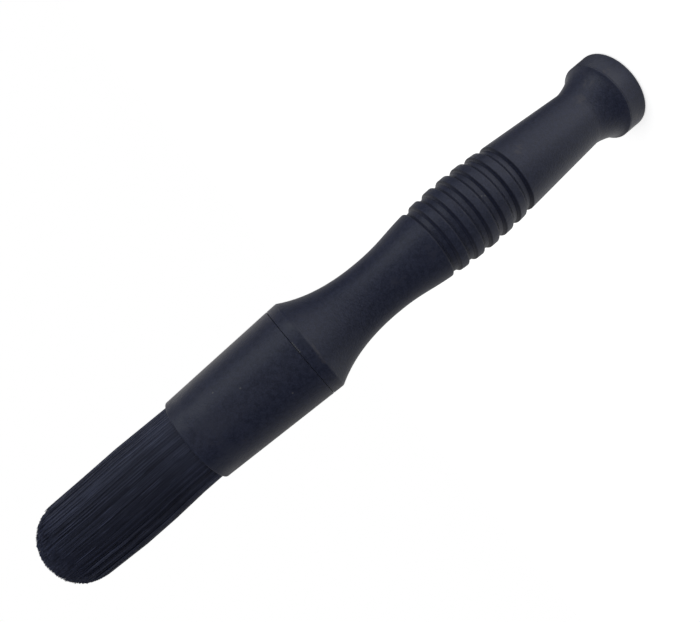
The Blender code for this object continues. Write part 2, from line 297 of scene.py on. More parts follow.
def near_place(tree, place, spot, size):
    """1 up to MARK_HEART of a size from a spot on the surface, and 0 beyond a size."""
    away = vector_step(tree, "DISTANCE", place, spot)
    return remap(tree, away.outputs["Value"], size, size * MARK_HEART)


def start_material(name):
    """A new material with its tree, its Principled shader and its object coordinates."""
    material = bpy.data.materials.new(name)
    material.use_nodes = True
    tree = material.node_tree
    shader = tree.nodes["Principled BSDF"]
    place = shader_node(tree, "ShaderNodeTexCoord").outputs["Object"]
    return material, tree, shader, place


# %% The plastic itself
# Each pattern is noise with a scale in features per metre, a detail and a roughness
CLOUDS = (620.0, 4.0, 0.78)
FLECKS = (2400.0, 1.0, 0.60)
GRAIN = (1300.0, 3.0, 0.60)
BLOOM_PATCHES = (170.0, 4.0, 0.75)
WORN_AND_GLINT_PATCHES = (160.0, 3.0, 0.50)
RUB_AND_HIGHLIGHT_STREAKS = (750.0, 3.0, 0.50)

# Noise values between which a pattern fades in, and the share of clouds and of flecks
PIGMENT_FADE = (0.40, 0.60)
PIGMENT_SHARE = 0.5
BLOOM_FADE = (0.56, 0.72)
WORN_AND_GLINT_FADE = (0.46, 0.60)
RUB_AND_HIGHLIGHT_FADE = (0.42, 0.60)

NAVY = (0.0078, 0.0115, 0.0312)
NAVY_CLOUD = (0.0208, 0.0262, 0.0574)
BLOOM = (0.0202, 0.0235, 0.0470)
# Paler rubbed edges: partly wear, partly painted glints along the edges
RUBBED_AND_GLINT = (0.0205, 0.0248, 0.0480)
# Painted shade: the darker colour of hollow arcs and upper groove walls
PAINTED_HOLLOW_SHADE = (0.0062, 0.0088, 0.0250)
# Pale mark colour: real rub marks, and painted highlights on the shoulder and cap
RUB_AND_HIGHLIGHT = (0.0340, 0.0348, 0.0530)
RUB_AND_HIGHLIGHT_FAINT = 0.10
RUB_AND_HIGHLIGHT_STRENGTH = 0.90
# Pale speck colour: real dust and a scuff, and the painted glint at the seam
DUST_AND_GLINT = (0.100, 0.102, 0.108)
DUST_AND_GLINT_STRENGTH = 0.60
SPECK_SIZE = 0.42 * MM
SKIN_SMOOTH = 0.37
SKIN_ROUGH = 0.44
HOLLOW_ROUGHER = 0.08
RUBBED_SMOOTHER = 0.06
SKIN_SPECULAR = 0.46
GRAIN_DEPTH = 0.115 * MM


def nearest_mark(tree, place, marks):
    """How near a point is to the nearest of some marks. Each mark is a spot and its size."""
    return combine(tree, "MAXIMUM", *[near_place(tree, place, *mark) for mark in marks])


def moulded_plastic(name, specks_and_glints=(), rubs_and_highlights=()):
    """Navy satin plastic: clouded pigment, eroded grain, painted shade in hollows, and pale edges, marks
    and specks that are partly wear and dust, partly painted glints and highlights.
    """
    material, tree, shader, place = start_material(name)
    clouds = remap(tree, noise(tree, place, *CLOUDS), *PIGMENT_FADE, 0.0, PIGMENT_SHARE)
    flecks = remap(tree, noise(tree, place, *FLECKS), *PIGMENT_FADE, 0.0, PIGMENT_SHARE)
    pigment = combine(tree, "ADD", clouds, flecks)
    colour = blend(tree, "RGBA", pigment, NAVY, NAVY_CLOUD)
    bloom = remap(tree, noise(tree, place, *BLOOM_PATCHES), *BLOOM_FADE)
    colour = blend(tree, "RGBA", bloom, colour, BLOOM)

    edge = shader_node(tree, "ShaderNodeAttribute", attribute_name="edge").outputs["Fac"]
    # Edges that stand out are paler in patches: partly wear, partly painted glints.
    patchy = remap(tree, noise(tree, place, *WORN_AND_GLINT_PATCHES), *WORN_AND_GLINT_FADE)
    rubbed_and_glint = combine(tree, "MULTIPLY", remap(tree, edge, 0.0, 1.0), patchy)
    colour = blend(tree, "RGBA", rubbed_and_glint, colour, RUBBED_AND_GLINT)
    # Painted shade: arcs in hollows and the upper groove walls get a darker base colour.
    painted_hollow_shade = remap(tree, edge, 0.0, -1.0)
    colour = blend(tree, "RGBA", painted_hollow_shade, colour, PAINTED_HOLLOW_SHADE)

    # Rub marks, and wider pale marks that are painted highlights.
    if rubs_and_highlights:
        streaks = remap(tree, noise(tree, place, *RUB_AND_HIGHLIGHT_STREAKS), *RUB_AND_HIGHLIGHT_FADE, RUB_AND_HIGHLIGHT_FAINT, RUB_AND_HIGHLIGHT_STRENGTH)
        share = combine(tree, "MULTIPLY", nearest_mark(tree, place, rubs_and_highlights), streaks)
        colour = blend(tree, "RGBA", share, colour, RUB_AND_HIGHLIGHT)
    # Dust specks, and pale points that are a painted glint at the seam.
    if specks_and_glints:
        dust_and_glint = nearest_mark(tree, place, [(spot, SPECK_SIZE) for spot in specks_and_glints])
        dust_and_glint = combine(tree, "MULTIPLY", dust_and_glint, DUST_AND_GLINT_STRENGTH)
        colour = blend(tree, "RGBA", dust_and_glint, colour, DUST_AND_GLINT)
    put(tree, colour, shader.inputs["Base Color"])

    skin = remap(tree, pigment, 0.0, 1.0, SKIN_SMOOTH, SKIN_ROUGH)
    rougher = combine(tree, "MULTIPLY", painted_hollow_shade, HOLLOW_ROUGHER)
    smoother = combine(tree, "MULTIPLY", rubbed_and_glint, RUBBED_SMOOTHER)
    wear = combine(tree, "SUBTRACT", rougher, smoother)
    put(tree, combine(tree, "ADD", skin, wear), shader.inputs["Roughness"])
    shader.inputs["Specular IOR Level"].default_value = SKIN_SPECULAR

    bump = shader_node(tree, "ShaderNodeBump")
    bump.inputs["Strength"].default_value = 1.0
    bump.inputs["Distance"].default_value = GRAIN_DEPTH
    put(tree, noise(tree, place, *GRAIN), bump.inputs["Height"])
    put(tree, bump.outputs["Normal"], shader.inputs["Normal"])
    print("finish", name, "with", len(specks_and_glints), "specks and", len(rubs_and_highlights), "rubbed spots")
    return material


# %% [markdown]
# ## The handle
#
# The real handle is one moulding. From the seam down it has a short collar that widens to a
# shoulder, a neck that draws in to a slim waist and swells again, the grip with its six grooves,
# a straight taper, and a flare that meets the cap. Above the seam a spigot fits inside the
# ferrule. It could be modelled in bands, but one outline keeps every transition smooth. The
# solids keep 0.3 mm between handle and ferrule. The real seam is finer, so both fine surfaces
# come closer and leave half of that.

# %% Handle outline
COLLAR_LENGTH = 3.95 * MM
SHOULDER_ROUNDING = 3.6 * MM
WAIST_DISTANCE = 33.1 * MM
WAIST_RADIUS = 11.15 * MM
NECK_SLOPE = 0.57
NECK_PULL = 9.8 * MM
WAIST_PULL = 10.85 * MM
GRIP_DISTANCE = 56.5 * MM
GRIP_SLOPE = 0.10
GRIP_PULL = 10.0 * MM
SEAM_EDGE = 0.12 * MM
SHOWN_GAP = 0.15 * MM
CLOSING = (FIT_GAP - SHOWN_GAP) / 2
NECK_STEPS = 30
SWELL_STEPS = 22


def neck_rows(grip_start):
    """Corners from the shoulder through the waist to the top of the grip, on two cubic curves."""
    shoulder = (SHOULDER_RADIUS, SEAM - COLLAR_LENGTH)
    waist = (WAIST_RADIUS, SEAM - WAIST_DISTANCE)
    above = (waist[0], waist[1] + WAIST_PULL)
    below = (waist[0], waist[1] - WAIST_PULL)
    from_shoulder = along_slope(shoulder, -NECK_SLOPE, NECK_PULL)
    to_grip = along_slope(grip_start, GRIP_SLOPE, -GRIP_PULL)
    neck = bezier(shoulder, from_shoulder, above, waist, NECK_STEPS)
    swell = bezier(waist, below, to_grip, grip_start, SWELL_STEPS)
    neck[0, 2] = SHOULDER_ROUNDING
    return np.vstack([neck, swell[1:]])


print("waist:", round(2 * WAIST_RADIUS / MM, 1), "mm across")

# %% [markdown]
# ### Finger grooves
#
# Six grooves leave five ribs between them, and the ribs follow a shallow arch, so the middle of
# the grip is thickest. Each groove has a flat floor and two leaning walls, of which the one on the
# bristles' side leans more. In the photograph the wall on the cap's side shows as a thick dark
# line and the other as a thin one. Only real depth gives that from every side, so the grooves are
# cut in the outline and not painted. On top of that the upper part of each wall gets painted
# shade: the finish makes it darker there.

# %% Groove outline
GROOVE_COUNT = 6
GROOVE_PITCH = 6.57 * MM
GROOVE_WIDTH = 3.7 * MM
UPPER_WALL = 1.05 * MM
LOWER_WALL = 0.80 * MM
GROOVE_DEPTH = 1.0 * MM
GRIP_END_RADIUS = 13.55 * MM
GRIP_CROWN = 1.07 * MM
RIB_ROUNDING = 0.50 * MM
FLOOR_ROUNDING = 0.22 * MM
UPPER_SHADE = 0.70
LOWER_SHADE = 0.52
RIM_LEFT_LIGHT = 0.03
GRIP_MARGIN = 0.1 * MM

GRIP_TOP = SEAM - GRIP_DISTANCE
GRIP_BOTTOM = GRIP_TOP - (GROOVE_COUNT - 1) * GROOVE_PITCH - GROOVE_WIDTH


def grip_radius(height):
    """Radius of the ribs: end radius + crown (1 - s^2), where s runs from -1 to 1 down the grip."""
    share = (2 * height - GRIP_TOP - GRIP_BOTTOM) / (GRIP_TOP - GRIP_BOTTOM)
    return GRIP_END_RADIUS + GRIP_CROWN * (1.0 - share * share)


def groove_rows():
    """Corners of the grooves: rib edge, floor edge, floor edge, rib edge, with their roundings."""
    rows = []
    for groove in range(GROOVE_COUNT):
        top = GRIP_TOP - groove * GROOVE_PITCH
        bottom = top - GROOVE_WIDTH
        rows += [
            (grip_radius(top), top, RIB_ROUNDING),
            (grip_radius(top) - GROOVE_DEPTH, top - UPPER_WALL, FLOOR_ROUNDING),
            (grip_radius(bottom) - GROOVE_DEPTH, bottom + LOWER_WALL, FLOOR_ROUNDING),
            (grip_radius(bottom), bottom, RIB_ROUNDING),
        ]
        if groove < GROOVE_COUNT - 1:
            crest = bottom - (GROOVE_PITCH - GROOVE_WIDTH) / 2
            rows.append((grip_radius(crest), crest, 0.0))
    return np.array(rows)


def paint_wall_shade(rows):
    """Set edge to -1 on the upper part of the groove walls, which the finish darkens as painted shade.

    It starts at RIM_LEFT_LIGHT of the groove's depth. On the bristles' side it goes down to
    UPPER_SHADE of the depth, on the cap's side down to LOWER_SHADE.
    """
    depth = (grip_radius(rows[:, 1]) - rows[:, 0]) / GROOVE_DEPTH
    below_top = (GRIP_TOP - rows[:, 1]) % GROOVE_PITCH
    reach = np.where(below_top < GROOVE_WIDTH / 2, UPPER_SHADE, LOWER_SHADE)
    in_grip = (rows[:, 1] < GRIP_TOP + GRIP_MARGIN) & (rows[:, 1] > GRIP_BOTTOM - GRIP_MARGIN)
    rows[in_grip & (depth > RIM_LEFT_LIGHT) & (depth < reach), 2] = -1.0
    return rows


print("grip from", round(GRIP_TOP / MM, 2), "down to", round(GRIP_BOTTOM / MM, 2), "mm above the end face")

# %% [markdown]
# ### Taper and flare
#
# Behind the grip the handle runs straight down to a second waist and then flares to the width of
# the cap. The flare is one more cubic curve, and a chamfer of a hair's breadth meets the cap.

# %% Flare outline
REAR_WAIST_RADIUS = 10.85 * MM
TAPER_RISE = 4.2 * MM
TAPER_WIDENING = 0.35 * MM
FLARE_HEIGHT = 10.1 * MM
FLARE_EDGE = 0.22 * MM
FLARE_SLOPE = 1.6
FLARE_PULL = 2.35 * MM
FLARE_STEPS = 24
FLARE_ROUNDING = 0.15 * MM
CAP_CHAMFER = 0.04 * MM
CAP_CLOSING = 0.13 * MM
HAIR = 0.03 * MM


def flare_rows():
    """Straight taper's end, the cubic flare, and the chamfer that meets the cap."""
    waist = (REAR_WAIST_RADIUS, HANDLE_BASE + FLARE_HEIGHT)
    edge = (END_RADIUS - FLARE_EDGE, HANDLE_BASE + 2 * FLARE_EDGE)
    pulled = (waist[0], waist[1] - FLARE_PULL)
    curve = bezier(waist, pulled, along_slope(edge, FLARE_SLOPE, -FLARE_PULL), edge, FLARE_STEPS)
    return np.vstack(
        [
            (waist[0] + TAPER_WIDENING, waist[1] + TAPER_RISE, 0.0),
            curve,
            (END_RADIUS, HANDLE_BASE + FLARE_EDGE, FLARE_ROUNDING),
            (END_RADIUS - CAP_CHAMFER, HANDLE_BASE - CAP_CLOSING, HAIR),
        ]
    )


print("rear waist:", round(2 * REAR_WAIST_RADIUS / MM, 1), "mm across")

# %% [markdown]
# ### Spigot and hollow
#
# The spigot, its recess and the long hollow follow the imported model, so the piece is a closed
# body that could be moulded or printed. A low bead on the spigot and one on the cap's plug snap
# into grooves. One function gives the corners of beads and grooves alike.

# %% Snap beads
BEAD_HEIGHT = 0.35 * MM
BEAD_WIDTH = 2.0 * MM
BEAD_ROOM = BEAD_WIDTH + 2 * FIT_GAP
BEAD_ROUNDING = 0.15 * MM


def bead_rows(surface, middle, height, width):
    """Corners of a ring that is raised on a shaft or cut in a bore, from top to bottom."""
    half = width / 2
    flank = width / 4
    return np.array(
        [
            (surface, middle + half, BEAD_ROUNDING),
            (surface + height, middle + half - flank, BEAD_ROUNDING),
            (surface + height, middle - half + flank, BEAD_ROUNDING),
            (surface, middle - half, BEAD_ROUNDING),
        ]
    )


# %% The whole outline
SOCKET_WALL = 1.4 * MM
SPIGOT_WALL = 2.6 * MM
SPIGOT_CHAMFER = 0.8 * MM
RECESS_DEPTH = 11.0 * MM
SPIGOT_BEAD_DISTANCE = 7.0 * MM
PLUG_BEAD_DISTANCE = 6.0 * MM
REAR_WALL = 2.1 * MM
BORE_STEP = 0.7 * MM
NECK_WALL = 3.6 * MM
BORE_DEPTH = 110.0 * MM
BORE_END_TAPER = 5.0 * MM
BORE_END_ROUNDING = 1.0 * MM

# Roundings of the small edges, most of them hidden in the joints
FINE = 0.1 * MM
SOFT = 0.2 * MM
DEEP = 0.4 * MM

SPIGOT_RADIUS = SEAM_RADIUS - SOCKET_WALL - FIT_GAP
PLUG_SEAT_RADIUS = REAR_WAIST_RADIUS - REAR_WALL


def handle_outline():
    """The whole handle, from the recess in its front end to the blind end of its bore."""
    recess = SPIGOT_RADIUS - SPIGOT_WALL
    front = [
        (0.0, SPIGOT_END - RECESS_DEPTH, 0.0),
        (recess, SPIGOT_END - RECESS_DEPTH, DEEP),
        (recess, SPIGOT_END, SOFT),
        (SPIGOT_RADIUS - SPIGOT_CHAMFER, SPIGOT_END, SOFT),
        (SPIGOT_RADIUS, SPIGOT_END - SPIGOT_CHAMFER, SOFT),
    ]
    collar = [(SPIGOT_RADIUS, SEAM + CLOSING, FINE), (SEAM_RADIUS, SEAM + CLOSING, SEAM_EDGE)]
    seat_end = PLUG_END + FIT_GAP
    bore_top = HANDLE_BASE + BORE_DEPTH
    bore = [
        (PLUG_SEAT_RADIUS, seat_end, FINE),
        (PLUG_SEAT_RADIUS - BORE_STEP, seat_end, FINE),
        (WAIST_RADIUS - NECK_WALL, bore_top - BORE_END_TAPER, BORE_END_ROUNDING),
        (0.0, bore_top, 0.0),
    ]
    groove = bead_rows(PLUG_SEAT_RADIUS, HANDLE_BASE + PLUG_BEAD_DISTANCE, BEAD_HEIGHT, BEAD_ROOM)
    corners = np.vstack(
        [
            front,
            bead_rows(SPIGOT_RADIUS, SEAM + SPIGOT_BEAD_DISTANCE, BEAD_HEIGHT, BEAD_WIDTH),
            collar,
            neck_rows((grip_radius(GRIP_TOP), GRIP_TOP))[:-1],
            groove_rows(),
            flare_rows(),
            [(PLUG_SEAT_RADIUS, HANDLE_BASE - CAP_CLOSING, SOFT)],
            groove[::-1],
            bore,
        ]
    )
    return paint_wall_shade(soften(corners))


print("the handle's outline has", len(handle_outline()), "rows")

# %% [markdown]
# ### Wear and painted highlights
#
# Wear is what tells a used handle from a drawing. There is a pale scuff in one groove, and rub
# marks on the flare and the taper. A row of pale points on the collar at the seam is a painted
# glint, and a row of pale marks along the shoulder's edge is a painted highlight. Scuff and glint
# are small pale points. Rub marks and the shoulder's highlight are wider, and noise breaks them up.


# %% The handle piece
def in_front(x, radius, height):
    """The spot at x on the front of a round surface: (x, -sqrt(radius^2 - x^2), height)."""
    return (x, -math.sqrt(radius**2 - x**2), height)


SCUFF = [(0.9 * MM, -13.5 * MM, 65.8 * MM), (0.3 * MM, -13.6 * MM, 64.9 * MM)]
# Painted glint: a row of pale points along the collar's top edge at the seam.
SEAM_GLINT = [in_front(x * MM, SEAM_RADIUS, SEAM - SEAM_EDGE) for x in (0.3, 1.0, 1.7, 2.4, 3.1, 3.8)]

# Painted highlight: a row of pale marks along the shoulder's edge, where it catches light.
SHOULDER_HIGHLIGHT_RADIUS = 17.7 * MM
SHOULDER_HIGHLIGHT_HEIGHT = SEAM - 4.7 * MM
SHOULDER_HIGHLIGHT_SLOPE = 0.14
SHOULDER_HIGHLIGHT_SIZE = 0.95 * MM
SHOULDER_HIGHLIGHT_PLACES = np.arange(0.8, 7.5, 1.05) * MM
SHOULDER_HIGHLIGHT = [
    (in_front(-x, SHOULDER_HIGHLIGHT_RADIUS, SHOULDER_HIGHLIGHT_HEIGHT + SHOULDER_HIGHLIGHT_SLOPE * x), SHOULDER_HIGHLIGHT_SIZE) for x in SHOULDER_HIGHLIGHT_PLACES
]
FLARE_RUB = [
    ((4.6 * MM, -9.8 * MM, 17.0 * MM), 2.6 * MM),
    ((7.4 * MM, -10.0 * MM, 11.2 * MM), 2.8 * MM),
    ((4.8 * MM, -12.4 * MM, 45.5 * MM), 2.8 * MM),
]
handle_finish = moulded_plastic("handle_plastic", SCUFF + SEAM_GLINT, SHOULDER_HIGHLIGHT + FLARE_RUB)
handle = lathe("handle_moulding", handle_outline(), handle_finish)
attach(handle, "root")
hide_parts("handle")

# %% [markdown]
# ## The ferrule
#
# The ferrule is a tapered sleeve that ends in a rounded lip round the bristles. A sliver of shade
# shows between lip and bristles, so the sleeve has its true wall and bore. Its lower edge is
# softened by a hair's breadth, as the collar's edge below it is, so the seam between them shows
# as a fine dark line. Three specks of dust lie on it.

# %% The ferrule piece
LIP_RADIUS = 15.88 * MM
LIP_WALL = 0.8 * MM
LIP_ROUNDING = 0.8 * MM
FERRULE_BASE = SEAM + FIT_GAP
LEDGE = SPIGOT_END + FIT_GAP
BORE_RADIUS = LIP_RADIUS - LIP_WALL
RESIN_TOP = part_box("resin_setting")[1].z
LOCK_COUNT = 2
LOCK_DEPTH = 0.5 * MM
LOCK_WIDTH = 2.0 * MM


def ferrule_outline():
    """Outer taper down, socket up, ledge, lock grooves and lip: one closed loop."""
    socket = SEAM_RADIUS - SOCKET_WALL
    spread = (RESIN_TOP - LEDGE) / (LOCK_COUNT + 1)
    locks = [RESIN_TOP - spread * (lock + 1) for lock in reversed(range(LOCK_COUNT))]
    snap = bead_rows(socket, SEAM + SPIGOT_BEAD_DISTANCE, BEAD_HEIGHT, BEAD_ROOM)
    keys = [bead_rows(BORE_RADIUS, lock, LOCK_DEPTH, LOCK_WIDTH + 2 * FIT_GAP)[::-1] for lock in locks]
    middle = (LIP + FERRULE_BASE) / 2
    middle_radius = (LIP_RADIUS + SEAM_RADIUS) / 2
    rows = soften(
        np.vstack(
            [
                [(middle_radius, middle, 0.0), (SEAM_RADIUS, FERRULE_BASE - CLOSING, SEAM_EDGE)],
                [(socket, FERRULE_BASE - CLOSING, SOFT)],
                snap[::-1],
                [(socket, LEDGE, FINE), (BORE_RADIUS, LEDGE, FINE)],
                *keys,
                [(BORE_RADIUS, LIP, SOFT), (LIP_RADIUS, LIP, LIP_ROUNDING)],
                [(middle_radius, middle, 0.0)],
            ]
        )
    )
    return rows[:-1]


FERRULE_SPECKS = [
    (8.0 * MM, -14.5 * MM, 172.35 * MM),
    (3.5 * MM, -16.5 * MM, 164.7 * MM),
    (-8.2 * MM, -15.3 * MM, 153.45 * MM),
]
ferrule = lathe("ferrule_sleeve", ferrule_outline(), moulded_plastic("ferrule_plastic", FERRULE_SPECKS))
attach(ferrule, "root")
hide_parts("ferrule")

# %% [markdown]
# ## The end cap
#
# The cap is a plain band with a rounded rim and a flat face that the brush stands on. Its plug
# snaps into the handle's hollow. It is a separate moulding, and a fine line shows where it meets
# the flare. The solids keep 0.3 mm apart there, and the fine surfaces close that to a hairline
# with a tiny chamfer on each side. Two pale marks on the band are partly wear and partly a
# painted reflection on the worn rim.

# %% The end cap piece
CAP_BAND = HANDLE_BASE - FIT_GAP
CAP_EDGE = 1.0 * MM
BAND_EDGE = 0.05 * MM
CAP_FLOOR = 2.6 * MM
PLUG_WALL = 1.8 * MM
PLUG_CHAMFER = 0.7 * MM
PLUG_ROUNDING = 0.3 * MM
PLUG_RADIUS = PLUG_SEAT_RADIUS - FIT_GAP


def cap_outline():
    """Plug from the inside out, then the band, the rim and the flat face, from pole to pole."""
    inner = PLUG_RADIUS - PLUG_WALL
    plug = [
        (0.0, CAP_FLOOR, 0.0),
        (inner, CAP_FLOOR, PLUG_ROUNDING),
        (inner, PLUG_END, SOFT),
        (PLUG_RADIUS - PLUG_CHAMFER, PLUG_END, SOFT),
        (PLUG_RADIUS, PLUG_END - PLUG_CHAMFER, SOFT),
    ]
    band = [
        (PLUG_RADIUS, CAP_BAND + CAP_CLOSING, FINE),
        (END_RADIUS - CAP_CHAMFER, CAP_BAND + CAP_CLOSING, HAIR),
        (END_RADIUS, CAP_BAND + CAP_CLOSING - CAP_CHAMFER, BAND_EDGE),
        (END_RADIUS, 0.0, CAP_EDGE),
        (END_RADIUS / 2, 0.0, 0.0),
        (0.0, 0.0, 0.0),
    ]
    bead = bead_rows(PLUG_RADIUS, HANDLE_BASE + PLUG_BEAD_DISTANCE, BEAD_HEIGHT, BEAD_WIDTH)
    return soften(np.vstack([plug, bead, band]))


# Pale marks on the band: partly wear, partly a painted reflection on the worn rim.
CAP_RUB_AND_GLINT = [
    ((6.0 * MM, -13.7 * MM, 6.2 * MM), 2.2 * MM),
    ((-12.4 * MM, -8.4 * MM, 5.2 * MM), 2.0 * MM),
]
end_cap = lathe("end_cap_moulding", cap_outline(), moulded_plastic("cap_plastic", (), CAP_RUB_AND_GLINT))
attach(end_cap, "root")
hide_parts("end_cap")

# %% [markdown]
# ## Setting resin
#
# The filaments are potted in resin deep inside the ferrule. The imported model's own block has the
# right shape, so it stays and gets a finish: amber with faint swirls where it was stirred.

# %% The resin's finish
RESIN_DARK = (0.20, 0.12, 0.045)
RESIN_LIGHT = (0.36, 0.24, 0.10)
RESIN_SWIRLS = (320.0, 4.0, 0.70)
RESIN_FADE = (0.35, 0.65)
RESIN_ROUGHNESS = (0.22, 0.36)


def setting_resin():
    """Amber resin with slow swirls and a smooth skin."""
    material, tree, shader, place = start_material("setting_resin")
    swirls = remap(tree, noise(tree, place, *RESIN_SWIRLS), *RESIN_FADE)
    put(tree, blend(tree, "RGBA", swirls, RESIN_DARK, RESIN_LIGHT), shader.inputs["Base Color"])
    put(tree, remap(tree, swirls, 0.0, 1.0, *RESIN_ROUGHNESS), shader.inputs["Roughness"])
    return material


resin = setting_resin()
resin_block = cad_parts["resin_setting"]
resin_block.data.materials.clear()
resin_block.data.materials.append(resin)
print("finish", resin.name, "on the block", resin_block.name)

# %% [markdown]
# ## Filaments
#
# A real knot holds some thousands of filaments, cut to a dome. A hair system would draw them, but
# then there would be no mesh to keep, so every filament is a slender closed prism. Each has a
# root on a sunflower spiral, where number n lies at the golden angle times n and at a radius that
# grows as the square root of n. Above the lip the filaments gather a little into wisps, which
# gives the fine light and dark streaks of a used brush. Several wisps make a lock, which shares
# a little of its tone.

# %% Where the filaments stand
FILAMENTS = 5200
FILAMENT_RADIUS = 0.140 * MM
ROOT_RADIUS = BORE_RADIUS - FIT_GAP
BUNDLE_MARGIN = 0.2 * MM
BUNDLE_RADIUS = ROOT_RADIUS - BUNDLE_MARGIN
WISPS = 1500
WISP_PULL = 0.34
GATHERED = 0.22
WISP_DRIFT = 0.15 * MM
WISP_SCATTER = 0.30 * MM
LOCKS = 90
LOCK_SCATTER = 0.5 * MM
SEED = 11
GOLDEN_ANGLE = math.pi * (3.0 - math.sqrt(5.0))
chance = np.random.default_rng(SEED)


def sunflower(count, reach):
    """Points n = 0.5, 1.5, ... at angle n times the golden angle, radius reach sqrt(n / count)."""
    number = np.arange(count) + 0.5
    angle = number * GOLDEN_ANGLE
    radius = reach * np.sqrt(number / count)
    return np.stack([radius * np.cos(angle), radius * np.sin(angle)], axis=1)


def nearest(points, middles):
    """For each point the number of the middle that lies nearest to it."""
    return np.linalg.norm(points[:, None, :] - middles[None, :, :], axis=2).argmin(axis=1)


roots = sunflower(FILAMENTS, BUNDLE_RADIUS)
from_axis = np.linalg.norm(roots, axis=1)
wisps = sunflower(WISPS, BUNDLE_RADIUS) + chance.normal(0.0, WISP_SCATTER, (WISPS, 2))
locks = sunflower(LOCKS, BUNDLE_RADIUS) + chance.normal(0.0, LOCK_SCATTER, (LOCKS, 2))
wisp_of = nearest(roots, wisps)
lock_of = nearest(wisps, locks)[wisp_of]
print("filaments:", FILAMENTS, "in", len(np.unique(wisp_of)), "wisps")

# %% [markdown]
# ### How a filament runs
#
# All filaments share one spread: the bundle bellies out by 0.6 mm above the lip and leans in a
# touch towards the tips. On top of that each one is drawn to the middle of its wisp, by a share
# that grows smoothly above the lip, and the wisp as a whole drifts a little, so that filaments
# touch here and there as real ones do. The knot also bows half a millimetre to one side. Its tips
# lie on a dome a little fuller than half an ellipse, less some raggedness.

# %% Paths of the filaments
SWELL = 0.6 * MM
SWELL_SHAPE = 1.7
DOME_HEIGHT = 12.7 * MM
LEAN_HEIGHT = 20.0 * MM
LEAN = 0.012
DOME_POWER = 2.2
RAGGED = 0.35 * MM
WISP_RAGGED = 0.45 * MM
BOW = -0.55 * MM
BOW_START = 0.10
BOW_FULL = 0.60
BOW_LEFT = 0.55
PATH_STEPS = 7
SECOND_STEP = 0.12
LAST_BUT_ONE = 0.97
FOOT = 0.4 * MM


def spread_at(height):
    """Share of the root's spread: 1 + swell sin(pi f^shape) / reach - lean l^2.

    f runs from 0 at the lip to 1 where the lean starts, and l from 0 there to 1 at the tip.
    """
    lean_start = TIP - LEAN_HEIGHT
    free = np.clip((height - LIP) / (lean_start - LIP), 0.0, 1.0)
    lean = np.clip((height - lean_start) / LEAN_HEIGHT, 0.0, 1.0)
    return 1.0 + SWELL / BUNDLE_RADIUS * np.sin(np.pi * free**SWELL_SHAPE) - LEAN * lean * lean


def tip_heights():
    """Dome of the tips: TIP - dome (1 - (1 - s^p)^(1/p)) - raggedness, for s from axis to rim."""
    share = np.minimum(from_axis / BUNDLE_RADIUS, 1.0)
    dome = DOME_HEIGHT * (1.0 - (1.0 - share**DOME_POWER) ** (1.0 / DOME_POWER))
    ragged = RAGGED * chance.random(FILAMENTS) ** 2 + WISP_RAGGED * chance.random(WISPS)[wisp_of] ** 3
    return TIP - dome - ragged


def smooth_step(share):
    """3 t^2 - 2 t^3 for the share held between 0 and 1."""
    held = np.clip(share, 0.0, 1.0)
    return held * held * (3.0 - 2.0 * held)


def filament_paths(heights):
    """Centres (filament, step, xyz) at heights (filament, step).

    A centre is ((1 - g) root + g wisp + f drift) spread + bow, with g the share of gathering and f
    the share of the way from lip to tip.
    """
    free = np.clip((heights - LIP) / (TIP - LIP), 0.0, 1.0)
    gather = wisp_pull[wisp_of][:, None] * smooth_step(free / GATHERED)
    middle = wisps[wisp_of][:, None, :]
    flat = roots[:, None, :] * (1.0 - gather[:, :, None]) + middle * gather[:, :, None]
    flat += wisp_drift[wisp_of][:, None, :] * free[:, :, None]
    flat = flat * spread_at(heights)[:, :, None]
    bow = smooth_step((free - BOW_START) / (BOW_FULL - BOW_START))
    bow = BOW * bow * (1.0 - (1.0 - BOW_LEFT) * smooth_step((free - BOW_FULL) / (1.0 - BOW_FULL)))
    flat[:, :, 0] += bow
    return np.concatenate([flat, heights[:, :, None]], axis=2)


wisp_pull = WISP_PULL * chance.random(WISPS)
wisp_drift = chance.normal(0.0, WISP_DRIFT, (WISPS, 2))
tips = tip_heights()
steps = np.concatenate([[0.0], np.linspace(SECOND_STEP, LAST_BUT_ONE, PATH_STEPS - 2), [1.0]])
heights = ROOT_BACK + FOOT + (tips - ROOT_BACK - FOOT)[:, None] * steps
paths = filament_paths(heights)
print("tips from", round(tips.min() / MM, 1), "to", round(tips.max() / MM, 1), "mm above the end face")

# %% [markdown]
# ### Filament finish
#
# The filaments are black nylon with a soft shine. Each carries a tone between 0 and 1, of which
# its lock and its wisp share a part, and the shader turns it into a lighter and smoother or a
# darker and rougher fibre. Without it thousands of equal fibres would blur into one flat grey.
# Along a fibre the tone changes in strokes about a centimetre long, which are noise over the
# fibre's own tone and the height, and it rises a little at the lip and at the tips. The normal
# is turned partly away from the axis, so that the prisms shade as one soft round bundle.

# %% The filament material
FIBRE_DARK = (0.0034, 0.0064, 0.0260)
FIBRE_LIGHT = (0.0425, 0.0515, 0.1010)
LIP_LIFT = 0.30
LIP_REACH = 16.0 * MM
TIP_LIFT = 0.20
TIP_REACH = 14.0 * MM
ROUND_SHARE = 0.58
STROKES_PER_METRE = 75.0
STROKE_SPREAD = 400.0
STROKE_NOISE = (1.0, 1.0, 0.50)
LIGHT_FADE = (0.58, 0.74)
STROKE_LIGHT = 0.85
DARK_FADE = (0.42, 0.28)
STROKE_DARK = -0.40
FIBRE_ROUGHNESS = (0.50, 0.36)
FIBRE_SPECULAR = 0.42


